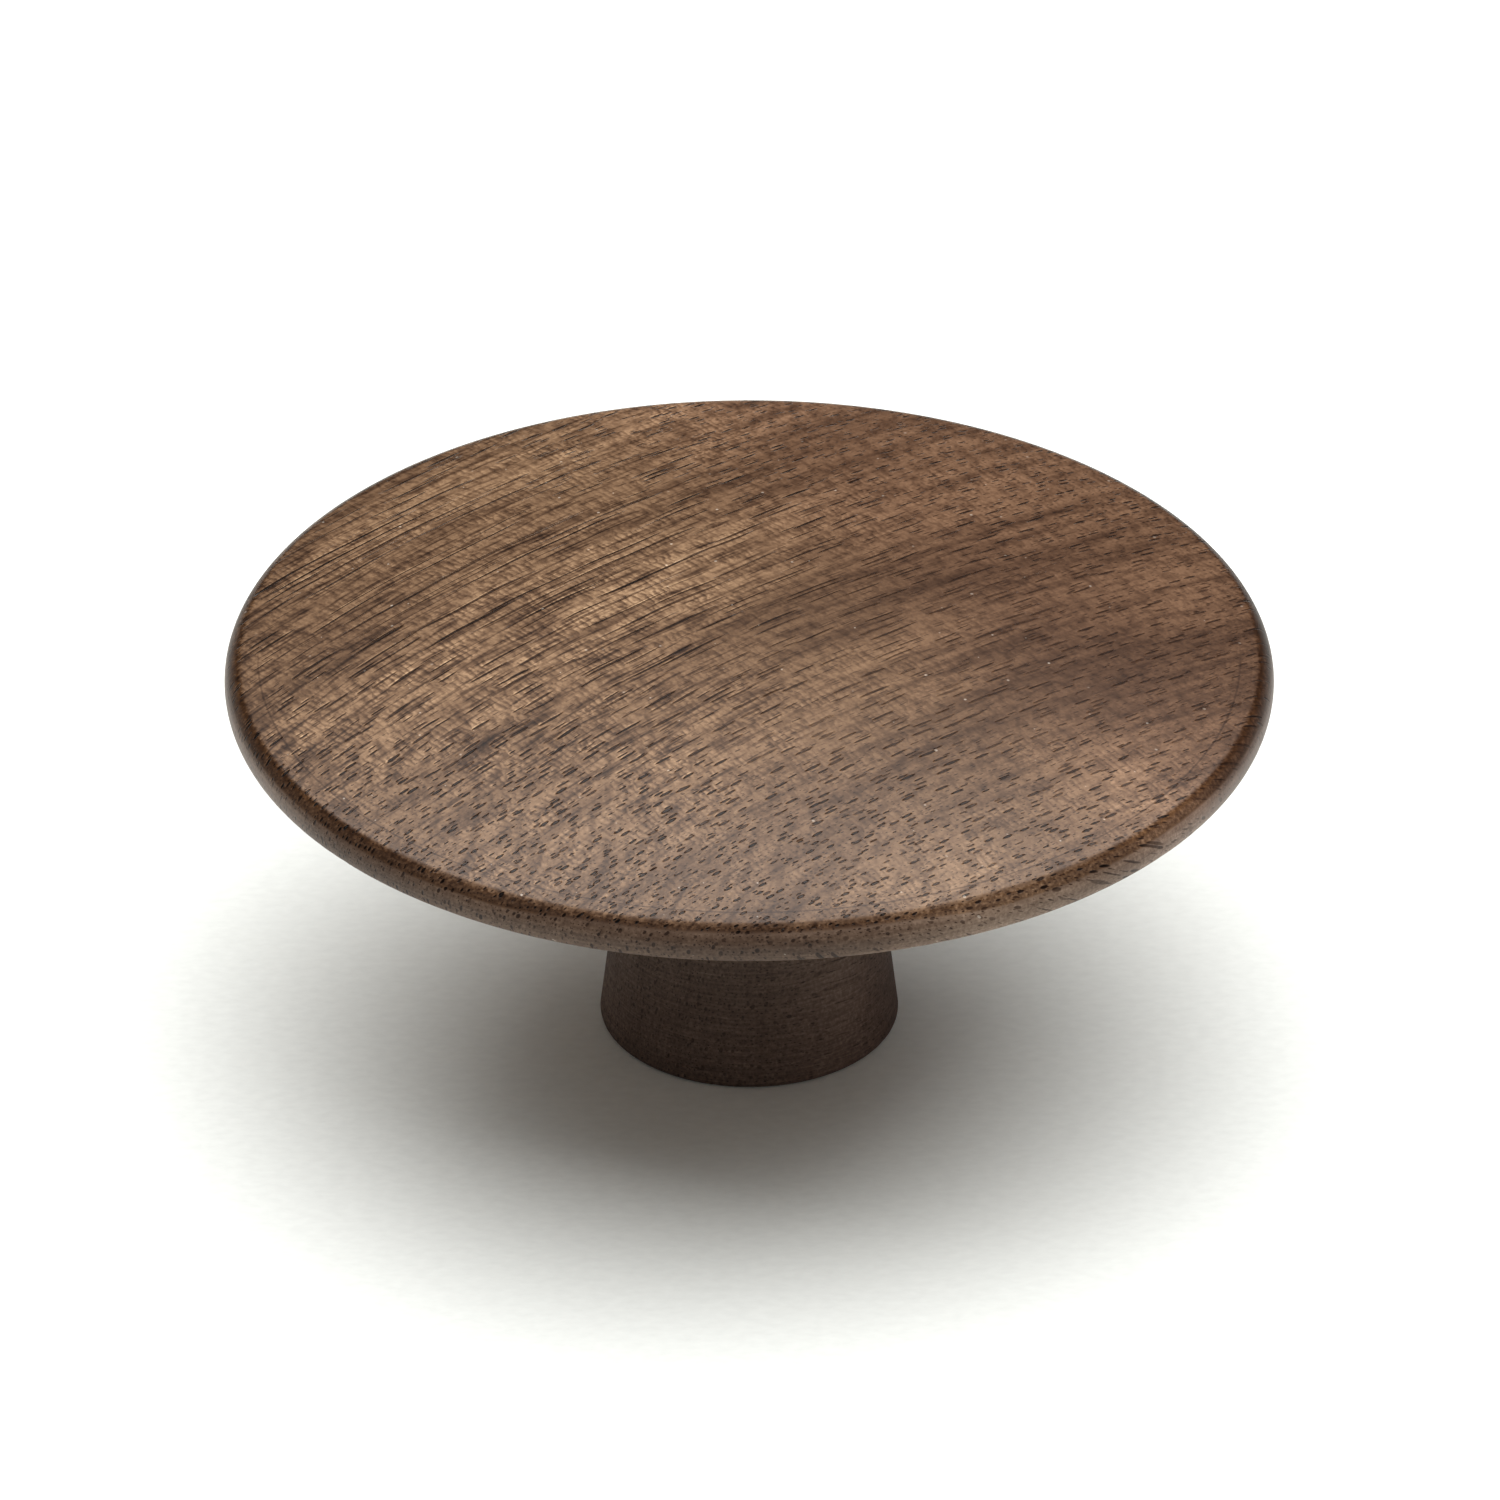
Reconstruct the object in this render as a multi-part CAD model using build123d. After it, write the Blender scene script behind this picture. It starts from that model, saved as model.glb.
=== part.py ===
"""Mushroom cabinet knob: one turned piece of dark walnut, with a brass M4 insert pressed into its foot.

The knob stands on its foot. The origin is the centre of the foot's face, +Z runs up the stem to the crown,
and the knob is round about Z. Everything is in millimetres.
"""

from build123d import *
from math import acos, atan2, cos, degrees, radians, sin, tan
import os

# Head: a thin disc with a crowned top, a rounded rim and a sharp lower edge
head_diameter = 60.0
knob_height = 26.0
crown_rise = 3.2  # from the widest circle up to the top
rim_round = 1.3  # radius of the rim's rounded section
rim_edge_drop = 0.7  # from the widest circle down to the sharp lower edge
underside_slope = 7.0  # degrees, falling towards the stem

# Stem: a cone that widens to the foot, with a cove between it and the underside
foot_diameter = 17.3
foot_edge_round = 0.3
stem_taper = 6.9  # degrees, each side
cove_radius = 8.0

# Brass insert: two knurled bands with a groove between them, and a plain collar at each end
insert_diameter = 6.2
insert_length = 10.0
insert_recess = 0.2  # how far its lower end lies inside the foot's face
insert_chamfer = 0.3
collar_height = 1.0
collar_step = 0.15  # how far the collars and their chamfers lie inside the knurl's crests
groove_height = 1.6
groove_depth = 0.5
knurl_depth = 0.25
knurl_count = 30
thread_minor_diameter = 3.3  # the wall that an M4 thread is cut in
thread_mouth_diameter = 4.3  # countersink at each end of the thread

# Blind hole in the foot: the insert's seat, with room past it for the end of a screw
screw_end_room = 2.5
drill_point_angle = 118.0  # degrees, the whole angle of the hole's conical end
bore_mouth_chamfer = 0.3

head_radius = head_diameter / 2
rim_height = knob_height - crown_rise  # of the widest circle, above the foot's face
foot_radius = foot_diameter / 2
insert_radius = insert_diameter / 2
insert_top = insert_recess + insert_length
thread_minor_radius = thread_minor_diameter / 2
thread_mouth_radius = thread_mouth_diameter / 2
thread_mouth_depth = thread_mouth_radius - thread_minor_radius  # the countersinks are at 45 degrees


def at(r, z):
    """A point of a half section, r from the axis and z above the foot's face."""
    return Vector(r, 0, z)


def on_circle(centre, radius, angle):
    """The point of a half section's circle at an angle in degrees above level."""
    return centre + at(radius * cos(radians(angle)), radius * sin(radians(angle)))


def arc(centre, radius, start, end):
    """The arc of a half section's circle between two angles in degrees above level."""
    middle = (start + end) / 2
    return ThreePointArc(*(on_circle(centre, radius, angle) for angle in (start, middle, end)))


def head_outline():
    """The crown's and the rim's arcs, tangent to each other, from the top down to the sharp lower edge."""
    rim_centre = at(head_radius - rim_round, rim_height)
    # The crown is centred on the axis. Its circle holds the rim's circle and touches it, so that their
    # centres lie as far apart as the two radii differ.
    crown_radius = (rim_centre.X**2 + crown_rise**2 - rim_round**2) / (2 * (crown_rise - rim_round))
    crown_centre = at(0, knob_height - crown_radius)
    reach = rim_centre - crown_centre
    meeting_angle = degrees(atan2(reach.Z, reach.X))
    # The rim's arc runs on below the widest circle.
    edge_angle = degrees(acos(rim_edge_drop / rim_round)) - 90
    return [
        arc(crown_centre, crown_radius, 90, meeting_angle),
        arc(rim_centre, rim_round, meeting_angle, edge_angle),
    ]


def stem_outline(head_edge):
    """The underside, the cove, the stem's cone and the foot's rounded edge, from the head's edge down."""
    fall = tan(radians(underside_slope))
    lean = tan(radians(stem_taper))
    foot_centre = at(foot_radius - foot_edge_round, foot_edge_round)
    foot_edge = arc(foot_centre, foot_edge_round, stem_taper, -90)
    stem_start = foot_edge @ 0
    # The cove's centre lies its radius below the underside and its radius outside the stem.
    underside_on_axis = head_edge.Z - fall * head_edge.X
    stem_at_foot = stem_start.X + lean * stem_start.Z
    level = underside_on_axis - cove_radius / cos(radians(underside_slope))
    reach = stem_at_foot + cove_radius / cos(radians(stem_taper))
    cove_z = (level + fall * reach) / (1 + fall * lean)
    cove_centre = at(reach - lean * cove_z, cove_z)
    cove = arc(cove_centre, cove_radius, 90 + underside_slope, 180 + stem_taper)
    return [
        Line(head_edge, cove @ 0),
        cove,
        Line(cove @ 1, stem_start),
        foot_edge,
    ]


def turned_wood():
    """The knob as it comes off the lathe, before its hole is drilled."""
    head = head_outline()
    stem = stem_outline(head[-1] @ 1)
    foot = Line(stem[-1] @ 1, at(0, 0))
    axis = Line(at(0, 0), at(0, knob_height))
    return revolve(make_face([*head, *stem, foot, axis]), Axis.Z)


def drilled_hole():
    """The blind hole for the insert: a chamfered mouth, a straight wall and a drill's conical end."""
    wall_end = insert_top + screw_end_room
    point_height = insert_radius / tan(radians(drill_point_angle / 2))
    mouth_radius = insert_radius + bore_mouth_chamfer
    section = Polyline(
        at(0, 0),
        at(mouth_radius, 0),
        at(insert_radius, bore_mouth_chamfer),
        at(insert_radius, wall_end),
        at(0, wall_end + point_height),
        at(0, 0),
    )
    return revolve(make_face(section), Axis.Z)


def make_knob_body():
    return turned_wood() - drilled_hole()


def insert_blank():
    """The insert's collars, and the neck between them that the knurled bands sit on."""
    collar_radius = insert_radius - collar_step
    neck_radius = insert_radius - groove_depth
    lower_step = insert_recess + collar_height
    upper_step = insert_top - collar_height
    section = Polyline(
        at(0, insert_recess),
        at(collar_radius - insert_chamfer, insert_recess),
        at(collar_radius, insert_recess + insert_chamfer),
        at(collar_radius, lower_step),
        at(neck_radius, lower_step),
        at(neck_radius, upper_step),
        at(collar_radius, upper_step),
        at(collar_radius, insert_top - insert_chamfer),
        at(collar_radius - insert_chamfer, insert_top),
        at(0, insert_top),
        at(0, insert_recess),
    )
    return revolve(make_face(section), Axis.Z)


def knurled_band(bottom, height):
    """A ring of straight V teeth, whose crests touch the wall of the wood's hole."""
    root_radius = insert_radius - knurl_depth
    step = 360 / knurl_count
    outline = []
    for tooth in range(knurl_count):
        for radius, turn in ((insert_radius, tooth), (root_radius, tooth + 0.5)):
            angle = radians(step * turn)
            outline.append((radius * cos(angle), radius * sin(angle)))
    teeth = make_face(Polyline(*outline, close=True))
    return Pos(0, 0, bottom) * extrude(teeth, amount=height)


def thread_hole():
    """The hole that the thread is cut in, right through the insert, with a countersink at each end."""
    section = Polyline(
        at(0, insert_recess),
        at(thread_mouth_radius, insert_recess),
        at(thread_minor_radius, insert_recess + thread_mouth_depth),
        at(thread_minor_radius, insert_top - thread_mouth_depth),
        at(thread_mouth_radius, insert_top),
        at(0, insert_top),
        at(0, insert_recess),
    )
    return revolve(make_face(section), Axis.Z)


def make_threaded_insert():
    band_height = (insert_length - 2 * collar_height - groove_height) / 2
    lower_band = knurled_band(insert_recess + collar_height, band_height)
    upper_band = knurled_band(insert_top - collar_height - band_height, band_height)
    return insert_blank() + lower_band + upper_band - thread_hole()


nodes = {
    "knob_body": make_knob_body(),
    "threaded_insert": make_threaded_insert(),
}

os.makedirs("parts", exist_ok=True)
for name, shape in nodes.items():
    export_step(shape, f"parts/{name}.step")
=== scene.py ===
"""Looks of a mushroom cabinet knob: one turned piece of dark walnut, with a brass M4 insert in its foot.

Lengths are in millimetres unless a name says otherwise. A mesh is scaled to Blender's metres as it is made.
"""

from math import acos, atan2, cos, degrees, exp, pi, radians, sin, tan

import bpy
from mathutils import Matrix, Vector, noise


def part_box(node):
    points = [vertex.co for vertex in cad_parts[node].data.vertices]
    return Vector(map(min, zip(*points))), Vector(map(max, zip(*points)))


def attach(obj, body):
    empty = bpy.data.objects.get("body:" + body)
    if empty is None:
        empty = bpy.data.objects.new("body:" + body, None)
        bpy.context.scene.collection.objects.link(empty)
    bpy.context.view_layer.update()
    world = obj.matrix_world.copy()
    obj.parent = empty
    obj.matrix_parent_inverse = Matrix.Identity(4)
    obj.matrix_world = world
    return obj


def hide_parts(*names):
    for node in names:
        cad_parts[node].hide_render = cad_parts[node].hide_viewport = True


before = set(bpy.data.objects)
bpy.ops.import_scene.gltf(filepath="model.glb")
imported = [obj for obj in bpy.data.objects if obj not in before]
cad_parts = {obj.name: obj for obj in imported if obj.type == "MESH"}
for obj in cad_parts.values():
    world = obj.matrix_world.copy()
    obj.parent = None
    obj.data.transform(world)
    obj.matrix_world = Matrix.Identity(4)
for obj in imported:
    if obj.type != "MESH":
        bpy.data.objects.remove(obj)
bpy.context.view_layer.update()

MM = 0.001
BODY = "root"

wood_low, wood_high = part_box("knob_body")
brass_low, brass_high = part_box("threaded_insert")

# Turned wood, as in the CAD
head_radius = (wood_high.x - wood_low.x) / 2 / MM
knob_height = wood_high.z / MM
crown_rise = 3.2
rim_round = 1.3
rim_edge_drop = 0.7
edge_wear = 0.09  # how far the handling of the knob has softened its sharp lower edge
underside_slope = 7.0
foot_radius = 8.65
foot_edge_round = 0.3
stem_taper = 6.9
cove_radius = 8.0

# Hole in the foot
insert_radius = (brass_high.x - brass_low.x) / 2 / MM
insert_bottom = brass_low.z / MM
insert_top = brass_high.z / MM
screw_end_room = 2.5
drill_point_angle = 118.0
bore_mouth_chamfer = 0.3

# Brass insert
collar_height = 1.0
collar_step = 0.15
insert_chamfer = 0.3
groove_height = 1.6
groove_depth = 0.5
knurl_depth = 0.25
knurl_count = 30
thread_pitch = 0.7
thread_minor_radius = 1.65
thread_major_radius = 2.0
thread_mouth_radius = 2.15
thread_root_flat = 0.125  # share of the pitch
thread_crest_flat = 0.25

# Nicks and dents of the wood's sharp lower edge: depth, and how many lie along a millimetre
nick_depth = 0.02
nick_pitch = 1.6
dent_depth = 0.03
dent_pitch = 0.5
dent_rarity = 0.15

# Fineness of the meshes
WOOD_SEGMENTS = 512
CROWN_STEPS = 60
RIM_STEPS = 16
SMALL_ARC_STEPS = 6
WEAR_STEPS = 4
UNDERSIDE_STEPS = 10
COVE_STEPS = 20
STEM_STEPS = 8
FOOT_FACE_STEPS = 4
WALL_STEPS = 6
SEGMENTS_PER_TOOTH = 4
ROWS_PER_PITCH = 12

# Camera: the distance and the angle were found from the outlines of the head and the foot
PHOTO_SIDE = 1500  # pixels
PIXELS_PER_MM = 17.418  # across the view, at the aim
SENSOR_WIDTH = 36.0
camera_distance = 700.0
camera_elevation = 31.4
camera_reach = 100  # metres
aim = Vector((0.043, 0, 17.57))

# Light: one softbox, sized as a share of its distance
softbox_distance = 1000.0
softbox_width = 1.69
softbox_depth = 1.63
softbox_lean_back = 8.6  # degrees
softbox_lean_right = 3.5
softbox_power = 30.0  # watts

# Light: a strip behind, sized as a share of its distance
strip_distance = 1000.0
strip_elevation = 48.5  # degrees
strip_width = 0.8
strip_height = 0.16
strip_power = 3.2  # watts

# Light: an even grey room
room_light = 0.19
room_gloss = 0.03  # as reflections show it

# Walnut: the grain runs across the knob and bows a little
grain_turn = 41.0  # degrees from +X towards +Y
grain_lean = -0.006
grain_bow_along = 0.00187  # per mm
grain_bow_across = -0.0009  # per mm

# Slope at which the vessels rise through the crown: least on the left, where they show as long lines
vessel_slope = 0.055
slope_along = -0.0007  # per mm
slope_across = -0.0062  # per mm
slope_along_along = 0.0005  # per mm2
slope_along_across = 0.0005
slope_across_across = 0.0003
crown_curve = 1 / 219  # per mm, from the crown's radius

# Soft patches of tone: place along and across the grain, half length, half width, and strength
PATCHES = (
    (7, 24.3, 15, 3.0, 0.50),  # golden streak by the back left rim
    (15, 18.6, 10, 2.5, 0.24),
    (14, 14.5, 17, 4.5, -0.25),  # duller wood at the back
    (-14, 15.4, 8, 4.0, -0.30),
    (-7, 8.8, 19, 9.0, 0.43),  # golden figured heart
    (4, 0.0, 11, 2.0, -0.50),  # two dark streaks to the right of the middle
    (12, -3.5, 20, 2.2, -0.26),
    (-20, -9.2, 29, 6.3, 0.27),  # broad lighter band in front
    (12, -15.7, 15, 4.0, -0.39),  # shadow at the right
    (14, -10.9, 5, 11.6, -0.33),
    (6, -26.8, 4, 6.0, 0.55),  # pale wood by the front right rim
    (-8, -28.6, 6, 6.0, 0.50),
)

# How the grain wanders from its even course, as the size, length, width and seed of each noise
WANDERS_ACROSS = ((0.6, 26, 9, 0), (0.15, 4, 1.6, 10))
WANDERS_DOWN = ((0.2, 9, 4, 20), (0.03, 2.4, 1.5, 30))
TONE_WANDERS = ((0.12, 7, 2.2, 40),)

# Where the grain is coarse: on the left, less so at the back and the front
coarse_x = (6, -6)
coarse_back_y = (8, 16)
coarse_back_loss = 0.5
coarse_front_y = (-12, -20)
coarse_front_loss = 0.6

# Where the wood is redder: towards the back right
red_lean = 0.6
red_reach = (0, 20)

# Walnut's colour and how much faster its green and blue fall in the dark. Where a value differs between the
# wood's regions, it is given for plain wood and then as the change that each region brings
wood_red = 0.118
wood_green = {"plain": 0.0655, "side": 0.011, "stem": 0.005, "shade_line": -0.010, "reddish": -0.0038}
wood_blue = {"plain": 0.0348, "side": 0.018, "stem": 0.010, "shade_line": -0.016, "reddish": -0.0010}
green_fall = 1.12
blue_fall = 1.18
wood_light = {"plain": 0.03, "coarse": 0.18, "back": 0.03, "stem": -0.02}
dust_colour = (0.24, 0.22, 0.19)
# Painted reflection: the pale sheen of the room on the rim's two ends
rim_sheen_colour = (0.075, 0.062, 0.053)

# Walnut's finish
wood_roughness = {"plain": 0.30, "side": 0.15, "stem": 0.35}
wood_refraction = 1.5
wood_specular = 0.2

# Walnut's regions, each from where it begins to where it is complete. Facing is 1 straight up and 0 level
crown_facing = (0.75, 0.95)
stem_z = (21.0, 17.0)
back_y = (6.0, 16.0)
back_x = (-10.0, 0.0)
front_y = (-8.0, -20.0)
end_grain_facing = (0.0, 0.65)
# Where the painted sheen lies on the rim's two ends
rim_sheen_x = (23.0, 27.5)
rim_sheen_facing = (0.5, 0.2)
rim_sheen_radius = (28.3, 28.9)
# Painted light: the stem is lighter towards the floor
foot_z = (4.0, 1.0)
foot_painted_light = 0.15
foot_red_z = (9.0, 2.0)
foot_red_x = (-2.0, 9.0)
foot_red_loss = 0.0045  # of green and of blue

# Walnut's rim: the facings between which its dark line of painted shade lies, and its edges
line_raggedness = 0.16
line_lower = 0.5
line_lower_fade = 0.12
line_front_x = (15.0, 8.0)
line_front_shift = 0.2
line_upper = 0.93
line_upper_fade = 0.08
line_ends_x = (17.0, 22.0)
line_ends_shift = 0.045
# Painted shade where the crown begins to roll over, and on the crown near its edge
rounding_facing = (0.992, 0.93)
rounding_shade = 0.36
crown_edge_radius = (27.2, 28.6)
crown_edge_shade = 0.14
# Painted highlight on the rim's lowest edge
low_edge_facing = (0.0, -0.35)
low_edge_radius = (28.6, 29.2)
low_edge_highlight = 0.2
below_strength = {"plain": 1.0, "stem": -0.3}
below_shade = {"plain": -0.42, "end_grain": 0.62}
# Painted shade in the rim's dark line, deeper on end grain
line_shade = {"plain": 0.35, "end_grain": 0.6}

# Walnut's grain: wavelengths in mm, the lightest that each kind of mark gets, and its strength
ribbon_width = 1.2
ribbon_length = 14.0
ribbon_top = 0.06
ribbon_strength = {"plain": 1.9, "coarse": 0.4}
fibre_width = 0.33
fibre_length = 3.5
fibre_top = -0.02
fibre_strength = {"plain": 1.3, "coarse": 3.6}
streak_strength = {"plain": 0.1, "crown": 0.9}
fleck_width = 1.0
fleck_length = 0.55
fleck_rise = 0.5
fleck_top = 0.06
fleck_strength = {"plain": 1.8, "coarse": 0.9, "back": 0.4}
fleck_strength_on_side = 0.3
speckle_size = 0.19
speckle_strength = {"plain": 0.7, "side": 0.5, "shade_line": 1.4}

# Walnut's figure: blocks of bars, strongest in the golden wood
block_width = 0.8
block_length = 1.5
bar_pitch = 12.0  # radians per mm
bar_pitch_range = 4.0
bar_waver = 9.0
bar_top = 0.35
bar_strength = {"plain": 0.42, "coarse": 0.2}
golden_tone = (-0.2, 0.25)
bar_golden = 0.6
bar_plain = 0.4

# Walnut's vessels: their spacing, and their radii from thin to thick
vessel_spacing = 0.38
vessel_thin = 0.03
vessel_thick = {"plain": 0.095, "coarse": 0.02, "front": 0.012}
vessel_share = 0.85
vessel_share_in_ribbons = 0.9
vessel_stretch = 0.6
vessel_border = (1.1, 0.65)  # as shares of the radius
vessel_share_fade = 0.02
vessel_shade_least = 0.35
vessel_shade_range = 0.65
vessel_shown = {"plain": 1.0, "side": -0.5, "stem": -0.2, "shade_line": 0.6, "back": 0.6}
vessel_strength = {"plain": 1.3, "coarse": 1.0, "front": 1.3}
vessel_relief = {"plain": -0.02, "crown": -0.05}
glint_shift = 0.1
glint_strength = {"plain": 0.12, "coarse": 0.45}
pore_strength = {"plain": 1.1, "front": 0.6, "back": 0.5}
pore_across = 7.3  # keeps the small pores out of step with the large vessels
pore_depth = 3.1
pore_sizes = (0.24, 0.025, 0.055, 0.75)  # spacing, thin radius, thick radius and share
dust_sizes = (2.4, 0.04, 0.1, 0.3)  # likewise

# Walnut's lathe marks
lathe_line_width = 0.13
lathe_line_length = 4.0
lathe_line_strength = {"plain": 0.0, "side": 0.5, "stem": 0.4}
border_radius = (21.0, 27.0)
border_line_strength = 0.35
groove_radius = 28.05
groove_fade = (0.08, 0.03)
groove_y = (4.0, -8.0)
groove_shade = 0.6

# Brass: bright colour, what tarnish takes from it, and marks of the turning tool
brass_bright = (0.80, 0.60, 0.30)
tarnish_loss = (0.20, 0.18, 0.11)
tarnish_patch = 1.5
tarnish_range = (-0.15, 0.25)
tarnish_roughness = 0.15
brass_roughness = 0.24
tool_mark_length = 4.0
tool_mark_width = 0.05
tool_mark_relief = 0.004

# Floor: white paper with a faint mottle
paper_white = 0.85
paper_red = 0.98  # red and blue, as shares of green
paper_blue = 0.96
mottle_strength = 0.09
mottle_width = 1.0
mottle_depth = 0.5
paper_roughness = 0.9
paper_specular = 0.2
floor_half_width = 2000.0


def wander(point, noises):
    """Smooth noise about zero, drawn out along the grain. Point is along, across and up."""
    total = 0.0
    for size, length, width, seed in noises:
        place = Vector((point[0] / length, point[1] / width, point[2] / width))
        total += size * noise.noise(place + Vector((0, 0, seed)))
    return total


def vessel_rise(along, level):
    """How far the vessels' layers have risen, along a line of the grain, since the middle of the knob."""
    start = vessel_slope + slope_across * level + slope_across_across * level**2
    change = (slope_along + slope_along_across * level + crown_curve) / 2
    return start * along + change * along**2 + slope_along_along / 3 * along**3


def grain_place(vertex):
    """Where a point of the wood lies along the grain, across it, and down through it."""
    x, y, z = vertex
    turn = radians(grain_turn)
    along = x * cos(turn) + y * sin(turn)
    level = y * cos(turn) - x * sin(turn)
    point = (along, level, z)
    bow = along * (grain_lean + grain_bow_along * along + grain_bow_across * level)
    across = level + bow + wander(point, WANDERS_ACROSS)
    depth = -z - vessel_rise(along, level) + wander(point, WANDERS_DOWN)
    return along, across, depth


def broad_tone(along, across, depth):
    """The wood's broad light and dark, as the logarithm of a factor."""
    tone = 0.0
    for place, line_place, half_length, half_width, strength in PATCHES:
        spread = ((along - place) / half_length) ** 2 + ((across - line_place) / half_width) ** 2
        tone += strength * exp(-spread)
    return tone + wander((along, across, depth), TONE_WANDERS)


def ease(value, start, end):
    """Runs smoothly from 0 at start to 1 at end."""
    share = min(1.0, max(0.0, (value - start) / (end - start)))
    return share * share * (3 - 2 * share)


def wood_look(vertex, place):
    """The tone, how coarse the grain is, and how red the wood is, at a point."""
    tone = broad_tone(*place)
    at_back = coarse_back_loss * ease(vertex.y, *coarse_back_y)
    at_front = coarse_front_loss * ease(vertex.y, *coarse_front_y)
    coarse = ease(vertex.x, *coarse_x) * (1 - at_back) * (1 - at_front)
    red = ease(vertex.x + red_lean * vertex.y, *red_reach)
    return tone, coarse, red


def add_grain(mesh):
    """Gives each vertex its place in the grain and its look, for the material."""
    points = [vertex.co / MM for vertex in mesh.vertices]
    places = [grain_place(point) for point in points]
    looks = [wood_look(point, place) for point, place in zip(points, places)]
    for name, vectors in (("grain", places), ("look", looks)):
        attribute = mesh.attributes.new(name, "FLOAT_VECTOR", "POINT")
        attribute.data.foreach_set("vector", [number for vector in vectors for number in vector])


def arc(centre, radius, start, end, steps):
    """Points of a circle in a half section (r, z), between two angles in degrees above level."""
    angles = [radians(start + (end - start) * step / steps) for step in range(steps + 1)]
    return [(centre[0] + radius * cos(angle), centre[1] + radius * sin(angle)) for angle in angles]


def line(start, end, steps):
    """Evenly spaced points between two points of a half section."""
    shares = [step / steps for step in range(steps + 1)]
    return [tuple(a + (b - a) * share for a, b in zip(start, end)) for share in shares]


def soften(before, corner, after, reach, steps):
    """A short curve that takes the place of a corner, tangent to its two sides."""
    corner = Vector(corner)
    start = corner + (Vector(before) - corner).normalized() * reach
    end = corner + (Vector(after) - corner).normalized() * reach
    shares = [step / steps for step in range(steps + 1)]
    return [tuple(start.lerp(corner, share).lerp(corner.lerp(end, share), share)) for share in shares]


def head_outline():
    """The crown and the rounded rim, from the top down to the lower edge."""
    rim_centre = (head_radius - rim_round, knob_height - crown_rise)
    crown_radius = (rim_centre[0] ** 2 + crown_rise**2 - rim_round**2) / (2 * (crown_rise - rim_round))
    crown_centre = (0.0, knob_height - crown_radius)
    meeting_angle = degrees(atan2(rim_centre[1] - crown_centre[1], rim_centre[0]))
    edge_angle = degrees(acos(rim_edge_drop / rim_round)) - 90
    crown = arc(crown_centre, crown_radius, 90, meeting_angle, CROWN_STEPS)
    rim = arc(rim_centre, rim_round, meeting_angle, 0, RIM_STEPS)
    edge = arc(rim_centre, rim_round, 0, edge_angle, SMALL_ARC_STEPS)
    return crown + rim[1:] + edge[1:]


def stem_outline(head_edge):
    """The underside, the cove, the stem's cone and the foot's rounded edge, from the lower edge down."""
    fall = tan(radians(underside_slope))
    lean = tan(radians(stem_taper))
    foot_centre = (foot_radius - foot_edge_round, foot_edge_round)
    foot_edge = arc(foot_centre, foot_edge_round, stem_taper, -90, SMALL_ARC_STEPS)
    stem_start = foot_edge[0]
    underside_on_axis = head_edge[1] - fall * head_edge[0]
    stem_at_foot = stem_start[0] + lean * stem_start[1]
    level = underside_on_axis - cove_radius / cos(radians(underside_slope))
    reach = stem_at_foot + cove_radius / cos(radians(stem_taper))
    cove_z = (level + fall * reach) / (1 + fall * lean)
    cove_centre = (reach - lean * cove_z, cove_z)
    cove = arc(cove_centre, cove_radius, 90 + underside_slope, 180 + stem_taper, COVE_STEPS)
    underside = line(head_edge, cove[0], UNDERSIDE_STEPS)
    stem = line(cove[-1], stem_start, STEM_STEPS)
    return underside + cove[1:] + stem[1:] + foot_edge[1:]


def hole_outline():
    """The foot's flat face and the blind hole, from the foot's edge to the hole's point."""
    wall_end = insert_top + screw_end_room
    point = wall_end + insert_radius / tan(radians(drill_point_angle / 2))
    mouth = (insert_radius + bore_mouth_chamfer, 0.0)
    wall_start = (insert_radius, bore_mouth_chamfer)
    foot_face = line((foot_radius - foot_edge_round, 0.0), mouth, FOOT_FACE_STEPS)
    wall = line(wall_start, (insert_radius, wall_end), WALL_STEPS)
    return foot_face, wall, [(0.0, point)]


def edge_nick(angle):
    """How far the worn lower edge lies inside the true circle at an angle round the knob."""
    place = Vector((cos(angle), sin(angle), 0)) * head_radius
    nick = max(0.0, noise.noise(place * nick_pitch))
    dent = max(0.0, noise.noise(place * dent_pitch) - dent_rarity)
    return nick_depth * nick + dent_depth * dent


def mesh_object(name, vertices, faces, sharp_edges=()):
    """A smooth-shaded object from points in millimetres, with the named edges kept sharp."""
    mesh = bpy.data.meshes.new(name)
    mesh.from_pydata([Vector(vertex) * MM for vertex in vertices], [], faces)
    mesh.polygons.foreach_set("use_smooth", [True] * len(mesh.polygons))
    sharp = {frozenset(edge) for edge in sharp_edges}
    for edge in mesh.edges:
        edge.use_edge_sharp = frozenset(edge.vertices) in sharp
    mesh.update()
    piece = bpy.data.objects.new(name, mesh)
    bpy.context.collection.objects.link(piece)
    return piece


def ring_edges(start, count):
    """The edges of a closed ring of vertices, given by its first vertex."""
    return [(start + i, start + (i + 1) % count) for i in range(count)]


def ring_faces(lower, upper, count):
    """The quads between two rings of vertices, given by their first vertices."""
    pairs = zip(ring_edges(lower, count), ring_edges(upper, count))
    return [(low, high, next_high, next_low) for (low, next_low), (high, next_high) in pairs]


def turned_points(outline, worn):
    """A half section's points as rings about Z. Its ends lie on the axis, and its worn points get nicks."""
    angles = [2 * pi * i / WOOD_SEGMENTS for i in range(WOOD_SEGMENTS)]
    points = [(0.0, 0.0, outline[0][1])]
    for radius, height in outline[1:-1]:
        for angle in angles:
            r = radius - edge_nick(angle) if (radius, height) in worn else radius
            points.append((r * cos(angle), r * sin(angle), height))
    points.append((0.0, 0.0, outline[-1][1]))
    return points


def turned_faces(starts, tip):
    """Faces from the point at the top, over rings given by their first vertices, to the tip."""
    faces = [(0, near, far) for near, far in ring_edges(starts[0], WOOD_SEGMENTS)]
    for lower, upper in zip(starts, starts[1:]):
        faces += ring_faces(lower, upper, WOOD_SEGMENTS)
    return faces + [(near, tip, far) for near, far in ring_edges(starts[-1], WOOD_SEGMENTS)]


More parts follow.
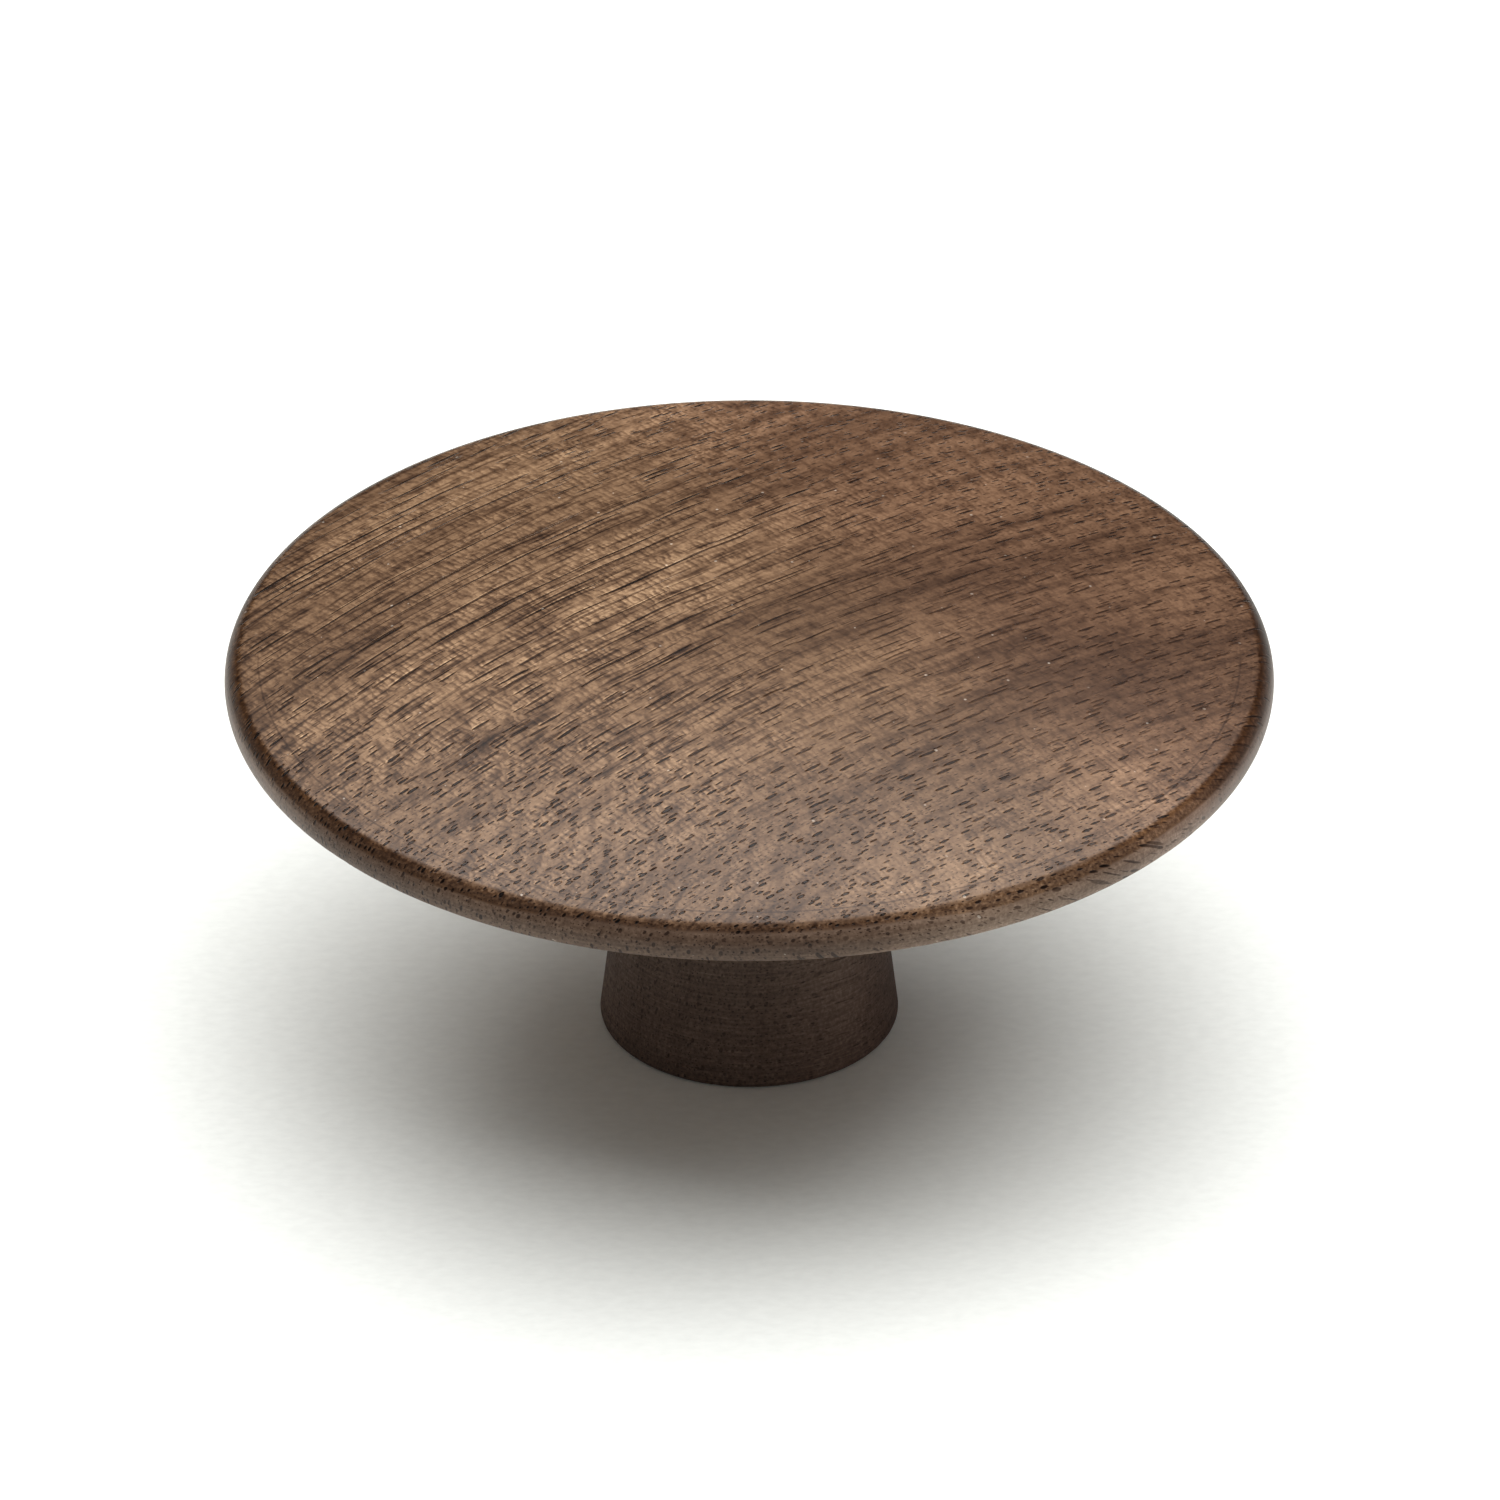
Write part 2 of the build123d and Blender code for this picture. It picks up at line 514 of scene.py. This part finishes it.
def make_wood():
    head = head_outline()
    stem = stem_outline(head[-1])
    edge = soften(head[-2], head[-1], stem[1], edge_wear, WEAR_STEPS)
    foot_face, wall, point = hole_outline()
    outline = head[:-1] + edge + stem[1:] + foot_face[1:] + wall + point
    vertices = turned_points(outline, set(edge))
    tip = len(vertices) - 1
    starts = range(1, tip, WOOD_SEGMENTS)
    faces = turned_faces(starts, tip)
    sharp_rings = {foot_face[-1], wall[0], wall[-1]}
    sharp_edges = []
    for place, start in zip(outline[1:-1], starts):
        if place in sharp_rings:
            sharp_edges += ring_edges(start, WOOD_SEGMENTS)
    piece = mesh_object("walnut_knob", vertices, faces, sharp_edges)
    add_grain(piece.data)
    return piece


def knurl_radius(angle):
    """A straight V knurl: crests on the insert's full radius, and roots between them."""
    turn = (angle * knurl_count / (2 * pi)) % 1
    return insert_radius - knurl_depth * (1 - abs(2 * turn - 1))


def thread_radius(angle, height):
    """The thread's 60-degree flanks, with a narrow flat at the crest and at the root."""
    turn = ((height - insert_bottom) / thread_pitch - angle / (2 * pi)) % 1
    past_root = (abs(2 * turn - 1) - thread_root_flat) / (1 - thread_root_flat - thread_crest_flat)
    flank = min(1.0, max(0.0, past_root))
    threaded = thread_major_radius - (thread_major_radius - thread_minor_radius) * flank
    to_mouth = min(height - insert_bottom, insert_top - height)
    return max(threaded, thread_mouth_radius - to_mouth)


def insert_rows():
    """The insert's rings as (height, radius at an angle), up the outside and down the thread."""
    collar = insert_radius - collar_step
    neck = insert_radius - groove_depth
    band = (insert_top - insert_bottom - 2 * collar_height - groove_height) / 2
    lower = insert_bottom + collar_height
    upper = insert_top - collar_height

    def plain(height, radius):
        return height, lambda angle: radius

    rows = [
        plain(insert_bottom, collar - insert_chamfer),
        plain(insert_bottom + insert_chamfer, collar),
        plain(lower, collar),
        (lower, knurl_radius),
        (lower + band, knurl_radius),
        plain(lower + band, neck),
        plain(upper - band, neck),
        (upper - band, knurl_radius),
        (upper, knurl_radius),
        plain(upper, collar),
        plain(insert_top - insert_chamfer, collar),
        plain(insert_top, collar - insert_chamfer),
    ]
    steps = round((insert_top - insert_bottom) / thread_pitch * ROWS_PER_PITCH)
    for step in range(steps + 1):
        height = insert_top + (insert_bottom - insert_top) * step / steps
        rows.append((height, lambda angle, height=height: thread_radius(angle, height)))
    return rows


def make_insert():
    segments = knurl_count * SEGMENTS_PER_TOOTH
    rows = insert_rows()
    vertices = []
    faces = []
    for row, (height, radius_at) in enumerate(rows):
        for i in range(segments):
            angle = 2 * pi * i / segments
            radius = radius_at(angle)
            vertices.append((radius * cos(angle), radius * sin(angle), height))
        following = (row + 1) % len(rows)
        faces += ring_faces(following * segments, row * segments, segments)
    piece = mesh_object("brass_insert", vertices, faces)
    piece.data.polygons.foreach_set("use_smooth", [False] * len(piece.data.polygons))
    return piece


def make_floor():
    half = floor_half_width
    corners = [(-half, -half, 0), (half, -half, 0), (half, half, 0), (-half, half, 0)]
    return mesh_object("floor", corners, [(0, 1, 2, 3)])


class Value:
    """A number that varies over a surface. Arithmetic on it adds Math nodes to its material."""

    def __init__(self, tree, socket):
        self.tree = tree
        self.socket = socket

    def math(self, operation, *others):
        node = self.tree.nodes.new("ShaderNodeMath")
        node.operation = operation
        for slot, value in zip(node.inputs, (self, *others)):
            feed(self.tree, slot, value)
        return Value(self.tree, node.outputs[0])

    def __add__(self, other):
        return self.math("ADD", other)

    def __sub__(self, other):
        return self.math("SUBTRACT", other)

    def __mul__(self, other):
        return self.math("MULTIPLY", other)

    def __truediv__(self, other):
        return self.math("DIVIDE", other)

    def __rsub__(self, other):
        return self * -1.0 + other

    __radd__ = __add__
    __rmul__ = __mul__

    def step(self, start, end):
        """Runs smoothly from 0 at start to 1 at end."""
        node = self.tree.nodes.new("ShaderNodeMapRange")
        node.interpolation_type = "SMOOTHSTEP"
        for slot, value in zip(node.inputs, (self, start, end)):
            feed(self.tree, slot, value)
        return Value(self.tree, node.outputs[0])


def feed(tree, slot, value):
    """Joins a Value to a socket, or sets the socket to a plain number or colour."""
    if isinstance(value, Value):
        tree.links.new(value.socket, slot)
    else:
        slot.default_value = value


def combine(tree, x, y, z):
    node = tree.nodes.new("ShaderNodeCombineXYZ")
    for slot, value in zip(node.inputs, (x, y, z)):
        feed(tree, slot, value)
    return Value(tree, node.outputs[0])


def separate(tree, vector):
    node = tree.nodes.new("ShaderNodeSeparateXYZ")
    feed(tree, node.inputs[0], vector)
    return [Value(tree, output) for output in node.outputs]


def object_space(tree, kind):
    """The surface's place or its normal."""
    node = tree.nodes.new("ShaderNodeTexCoord")
    return separate(tree, Value(tree, node.outputs[kind]))


def attribute(tree, name):
    node = tree.nodes.new("ShaderNodeAttribute")
    node.attribute_name = name
    return separate(tree, Value(tree, node.outputs["Vector"]))


def random_field(tree, x, y, z=None, detail=1.0, roughness=0.5):
    """Smooth noise about zero, a few tenths either way. Its place is in wavelengths."""
    node = tree.nodes.new("ShaderNodeTexNoise")
    node.noise_dimensions = "2D" if z is None else "3D"
    feed(tree, node.inputs["Vector"], combine(tree, x, y, 0.0 if z is None else z))
    node.inputs["Scale"].default_value = 1.0
    node.inputs["Detail"].default_value = detail
    node.inputs["Roughness"].default_value = roughness
    return Value(tree, node.outputs["Fac"]) - 0.5


def new_material(name):
    material = bpy.data.materials.new(name)
    material.use_nodes = True
    return material, material.node_tree, material.node_tree.nodes["Principled BSDF"]


def bump(tree, shader, height):
    """Raises the surface by a height in millimetres."""
    node = tree.nodes.new("ShaderNodeBump")
    node.inputs["Distance"].default_value = MM
    feed(tree, node.inputs["Height"], height)
    tree.links.new(node.outputs["Normal"], shader.inputs["Normal"])


def block_numbers(tree, across, along):
    """Three numbers from 0 to 1 that stay the same over each block of an irregular pattern."""
    node = tree.nodes.new("ShaderNodeTexVoronoi")
    node.voronoi_dimensions = "2D"
    feed(tree, node.inputs["Vector"], combine(tree, across, along, 0.0))
    node.inputs["Scale"].default_value = 1.0
    return separate(tree, Value(tree, node.outputs["Color"]))


def vessels(tree, across, depth, size, thin, thick, share):
    """How far a point lies inside the open vessels that the cut has laid bare, from 0 to 1."""
    node = tree.nodes.new("ShaderNodeTexVoronoi")
    node.voronoi_dimensions = "2D"
    feed(tree, node.inputs["Vector"], combine(tree, across / size, depth / size, 0.0))
    node.inputs["Scale"].default_value = 1.0
    distance = Value(tree, node.outputs["Distance"])
    width, luck, shade = separate(tree, Value(tree, node.outputs["Color"]))
    radius = width * ((thick - thin) / size) + thin / size
    inside = (distance / radius).step(*vessel_border)
    kept = luck.step(share + vessel_share_fade, share - vessel_share_fade)
    return inside * kept * (shade * vessel_shade_range + vessel_shade_least)


class Wood:
    """What the walnut's look follows from at a point: its grain, and where on the knob it lies."""

    def __init__(self, tree):
        self.tree = tree
        self.along, self.across, self.depth = attribute(tree, "grain")
        self.tone, self.coarse, self.reddish = attribute(tree, "look")
        self.x, self.y, self.z = (metres / MM for metres in object_space(tree, "Object"))
        self.facing = object_space(tree, "Normal")
        self.radius = (self.x * self.x + self.y * self.y).math("SQRT")
        self.aside = self.x.math("ABSOLUTE")
        place = (self.x / speckle_size, self.y / speckle_size, self.z / speckle_size)
        self.speckle = random_field(tree, *place, roughness=0.6)
        self.find_regions()

    def find_regions(self):
        """Each region runs from 0 outside it to 1 inside."""
        self.crown = self.facing[2].step(*crown_facing)
        self.side = 1.0 - self.crown
        self.stem = self.z.step(*stem_z)
        self.back = self.y.step(*back_y) * self.x.step(*back_x)
        self.front = self.y.step(*front_y)
        turn = radians(grain_turn)
        cut_across = self.facing[0] * cos(turn) + self.facing[1] * sin(turn)
        self.end_grain = cut_across.math("ABSOLUTE").step(*end_grain_facing)
        # The rim's dark line of painted shade
        self.shade_line = self.find_shade_line()
        # Painted reflection: a pale sheen of the room on the rim's two ends, held in worn
        rim_wall = self.facing[2].step(*rim_sheen_facing) * self.radius.step(*rim_sheen_radius)
        self.worn = self.aside.step(*rim_sheen_x) * rim_wall

    def find_shade_line(self):
        """The dark line of painted shade along the rim's round. It is narrower in front and reaches higher at
        the two ends.
        """
        ragged = self.facing[2] + self.speckle * line_raggedness
        lower = self.aside.step(*line_front_x) * line_front_shift + line_lower
        upper = self.aside.step(*line_ends_x) * line_ends_shift + line_upper
        return ragged.step(upper, upper - line_upper_fade) * ragged.step(lower, lower + line_lower_fade)

    def by_region(self, plain, **changes):
        """A value that is plain outside all the named regions, with the change that each of them brings."""
        total = plain
        for region, change in changes.items():
            total = getattr(self, region) * change + total
        return total


def cross_flecks(wood):
    """Noise with short wavelengths along the grain, for marks that lie square to the fibres."""
    across = (wood.across + wood.depth * fleck_rise) / fleck_width
    along = (wood.along + wood.depth) / fleck_length
    return random_field(wood.tree, across, along, detail=2.0, roughness=0.65)


def figure(wood, flecks):
    """Bars square to the fibres, in small blocks with a pitch and a strength of their own."""
    phase, strength, pitch = block_numbers(wood.tree, wood.across / block_width, wood.along / block_length)
    turns = wood.along * (pitch * bar_pitch_range + bar_pitch) + phase * (2 * pi) + flecks * bar_waver
    bars = turns.math("SINE").math("MINIMUM", bar_top)
    golden = wood.tone.step(*golden_tone) * bar_golden + bar_plain
    return bars * golden * strength * wood.crown * wood.by_region(**bar_strength)


def fibre_grain(wood, ribbons):
    """Streaks along the fibres, from broad to fine, and short marks across them. Most are dark."""
    fibres = random_field(wood.tree, wood.across / fibre_width, wood.along / fibre_length, roughness=0.6)
    fibres = fibres.math("MINIMUM", fibre_top)
    streaks = ribbons * wood.by_region(**ribbon_strength) + fibres * wood.by_region(**fibre_strength)
    flecks = cross_flecks(wood)
    marks = flecks.math("MINIMUM", fleck_top)
    on_crown = wood.crown * wood.by_region(**fleck_strength)
    marks = marks * (on_crown + wood.side * fleck_strength_on_side)
    return streaks * wood.by_region(**streak_strength) + marks + figure(wood, flecks)


def open_vessels(wood, ribbons):
    """Where the large vessels are sunk, how dark the vessels make the wood, and the glints beside them."""
    share = vessel_share - ribbons * vessel_share_in_ribbons
    thick = wood.by_region(**vessel_thick)
    shown = wood.by_region(**vessel_shown)
    level = wood.depth * vessel_stretch
    sizes = (vessel_spacing, vessel_thin, thick, share)
    sunk = vessels(wood.tree, wood.across, level, *sizes)
    large = sunk * shown
    beside = vessels(wood.tree, wood.across - glint_shift, level, *sizes) * shown
    glints = (beside - large).math("MAXIMUM", 0.0) * wood.by_region(**glint_strength)
    small = vessels(wood.tree, wood.across + pore_across, wood.depth + pore_depth, *pore_sizes)
    dark = large * wood.by_region(**vessel_strength) + small * wood.by_region(**pore_strength)
    return sunk, dark, glints


def lathe_marks(wood):
    """Fine lines round the rim, the stem and the crown's border, and one shallow groove at the front."""
    out = (wood.radius + wood.z) / lathe_line_width
    lines = random_field(wood.tree, out, (wood.x + wood.y) / lathe_line_length, detail=2.0, roughness=0.6)
    border = wood.radius.step(*border_radius) * border_line_strength
    from_groove = (wood.radius - groove_radius).math("ABSOLUTE")
    groove = from_groove.step(*groove_fade) * wood.y.step(*groove_y) * wood.crown
    return lines * (wood.by_region(**lathe_line_strength) + border) - groove * groove_shade


def rim_tone(wood):
    """Painted shade in a dark line along the rim's round, deeper on end grain, and where the crown rolls
    over. Below the line the rim is paler on side grain and darker on end grain. Its lowest edge gets a
    painted highlight.
    """
    below = wood.side * wood.by_region(**below_strength) * (1.0 - wood.shade_line)
    ends = wood.by_region(**below_shade) * below
    shade_in_line = wood.shade_line * wood.by_region(**line_shade)
    # Painted shade where the crown rolls over and near its edge
    rounding = wood.facing[2].step(*rounding_facing) * rounding_shade
    crown_edge = wood.radius.step(*crown_edge_radius) * wood.crown * crown_edge_shade
    # Painted highlight on the lowest edge
    low_edge = wood.facing[2].step(*low_edge_facing) * wood.radius.step(*low_edge_radius)
    return low_edge * low_edge_highlight - ends - shade_in_line - rounding - crown_edge


def wood_tone(wood, ribbons, dark_vessels, glints):
    """The wood's light and dark, as the logarithm of a factor."""
    broad = wood.tone + wood.by_region(**wood_light)
    speckle = wood.speckle * wood.by_region(**speckle_strength)
    # Painted light: the stem's foot is lighter towards the floor
    foot = wood.stem * wood.z.step(*foot_z) * foot_painted_light
    grain = fibre_grain(wood, ribbons) + glints - dark_vessels
    return broad + grain + speckle + foot + lathe_marks(wood) + rim_tone(wood)


def wood_colour(wood, tone):
    """Brown that reddens as it darkens, with pale specks of dust and a painted pale sheen, a reflection of
    the room, at the rim's two ends.
    """
    foot_red = wood.stem * (wood.z.step(*foot_red_z) + wood.x.step(*foot_red_x)) * foot_red_loss
    green = wood.by_region(**wood_green) - foot_red
    blue = wood.by_region(**wood_blue) - foot_red
    dust = vessels(wood.tree, wood.x + wood.z, wood.y - wood.z, *dust_sizes) * (1.0 - wood.stem)
    channels = [
        tone.math("EXPONENT") * wood_red,
        (tone * green_fall).math("EXPONENT") * green,
        (tone * blue_fall).math("EXPONENT") * blue,
    ]
    pale = zip(channels, dust_colour, rim_sheen_colour)
    # The worn mask adds the painted pale sheen, a reflection of the room, at the rim's two ends
    return combine(wood.tree, *(channel + dust * speck + wood.worn * sheen_part for channel, speck, sheen_part in pale))


def walnut():
    """Open-pored dark walnut with a satin finish."""
    material, tree, shader = new_material("walnut")
    wood = Wood(tree)
    streaks = (wood.across / ribbon_width, wood.along / ribbon_length)
    ribbons = random_field(tree, *streaks, detail=2.0, roughness=0.65).math("MINIMUM", ribbon_top)
    sunk, dark_vessels, glints = open_vessels(wood, ribbons)
    tone = wood_tone(wood, ribbons, dark_vessels, glints)
    feed(tree, shader.inputs["Base Color"], wood_colour(wood, tone))
    feed(tree, shader.inputs["Roughness"], wood.by_region(**wood_roughness))
    shader.inputs["IOR"].default_value = wood_refraction
    shader.inputs["Specular IOR Level"].default_value = wood_specular
    bump(tree, shader, sunk * wood.by_region(**vessel_relief))
    return material


def brass():
    material, tree, shader = new_material("brass")
    x, y, z = (metres / MM for metres in object_space(tree, "Object"))
    tool_marks = random_field(tree, (x + y) / tool_mark_length, z / tool_mark_width, detail=2.0)
    patches = random_field(tree, (x + z) / tarnish_patch, (y + z) / tarnish_patch, detail=3.0)
    tarnish = patches.step(*tarnish_range)
    colour = [bright - tarnish * loss for bright, loss in zip(brass_bright, tarnish_loss)]
    feed(tree, shader.inputs["Base Color"], combine(tree, *colour))
    feed(tree, shader.inputs["Roughness"], tarnish * tarnish_roughness + brass_roughness)
    shader.inputs["Metallic"].default_value = 1.0
    bump(tree, shader, tool_marks * tool_mark_relief)
    return material


def paper():
    material, tree, shader = new_material("paper")
    x, y = (metres / MM for metres in object_space(tree, "Object")[:2])
    mottle = random_field(tree, x / mottle_width, y / mottle_depth, detail=2.0, roughness=0.6)
    white = mottle * mottle_strength + paper_white
    feed(tree, shader.inputs["Base Color"], combine(tree, white * paper_red, white, white * paper_blue))
    shader.inputs["Roughness"].default_value = paper_roughness
    shader.inputs["Specular IOR Level"].default_value = paper_specular
    return material


def add_camera():
    data = bpy.data.cameras.new("camera")
    data.sensor_width = SENSOR_WIDTH
    data.lens = SENSOR_WIDTH * PIXELS_PER_MM * camera_distance / PHOTO_SIDE
    camera = bpy.data.objects.new("camera", data)
    tilt = radians(camera_elevation)
    away = Vector((0, -cos(tilt), sin(tilt)))
    camera.location = (aim + away * camera_distance) * MM
    camera.rotation_euler = (-away).to_track_quat("-Z", "Y").to_euler()
    data.clip_end = camera_reach
    bpy.context.collection.objects.link(camera)
    bpy.context.scene.camera = camera


def add_area_light(name, away, distance, width, height, power):
    """A rectangular light that faces the knob."""
    data = bpy.data.lights.new(name, "AREA")
    data.shape = "RECTANGLE"
    data.size = width * MM
    data.size_y = height * MM
    data.energy = power
    light = bpy.data.objects.new(name, data)
    away = Vector(away).normalized()
    light.location = away * distance * MM
    light.rotation_euler = away.to_track_quat("Z", "Y").to_euler()
    bpy.context.collection.objects.link(light)
    return light


def add_softbox():
    """One broad softbox overhead, leaning a little to the back and to the right."""
    away = (tan(radians(softbox_lean_right)), tan(radians(softbox_lean_back)), 1)
    width = softbox_distance * softbox_width
    height = softbox_distance * softbox_depth
    light = add_area_light("softbox", away, softbox_distance, width, height, softbox_power)
    light.visible_glossy = False


def add_sheen_strip():
    """A strip at the back, which only the sheen on the crown's front shows."""
    away = (0, cos(radians(strip_elevation)), sin(radians(strip_elevation)))
    width = strip_distance * strip_width
    height = strip_distance * strip_height
    light = add_area_light("strip", away, strip_distance, width, height, strip_power)
    light.visible_diffuse = False


def add_world():
    """An even grey room, white to the camera and dim in reflections."""
    world = bpy.data.worlds.new("studio")
    world.use_nodes = True
    tree = world.node_tree
    background = tree.nodes["Background"]
    path = tree.nodes.new("ShaderNodeLightPath")
    seen = Value(tree, path.outputs["Is Camera Ray"])
    mirrored = Value(tree, path.outputs["Is Glossy Ray"])
    strength = seen * (1 - room_light) + mirrored * (room_gloss - room_light) + room_light
    feed(tree, background.inputs["Strength"], strength)
    background.inputs["Color"].default_value = (1, 1, 1, 1)
    bpy.context.scene.world = world


wood = make_wood()
wood.data.materials.append(walnut())
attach(wood, BODY)
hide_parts("knob_body")

insert = make_insert()
insert.data.materials.append(brass())
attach(insert, BODY)
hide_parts("threaded_insert")

floor = make_floor()
floor.data.materials.append(paper())

add_camera()
add_softbox()
add_sheen_strip()
add_world()
bpy.context.scene.view_settings.view_transform = "Standard"
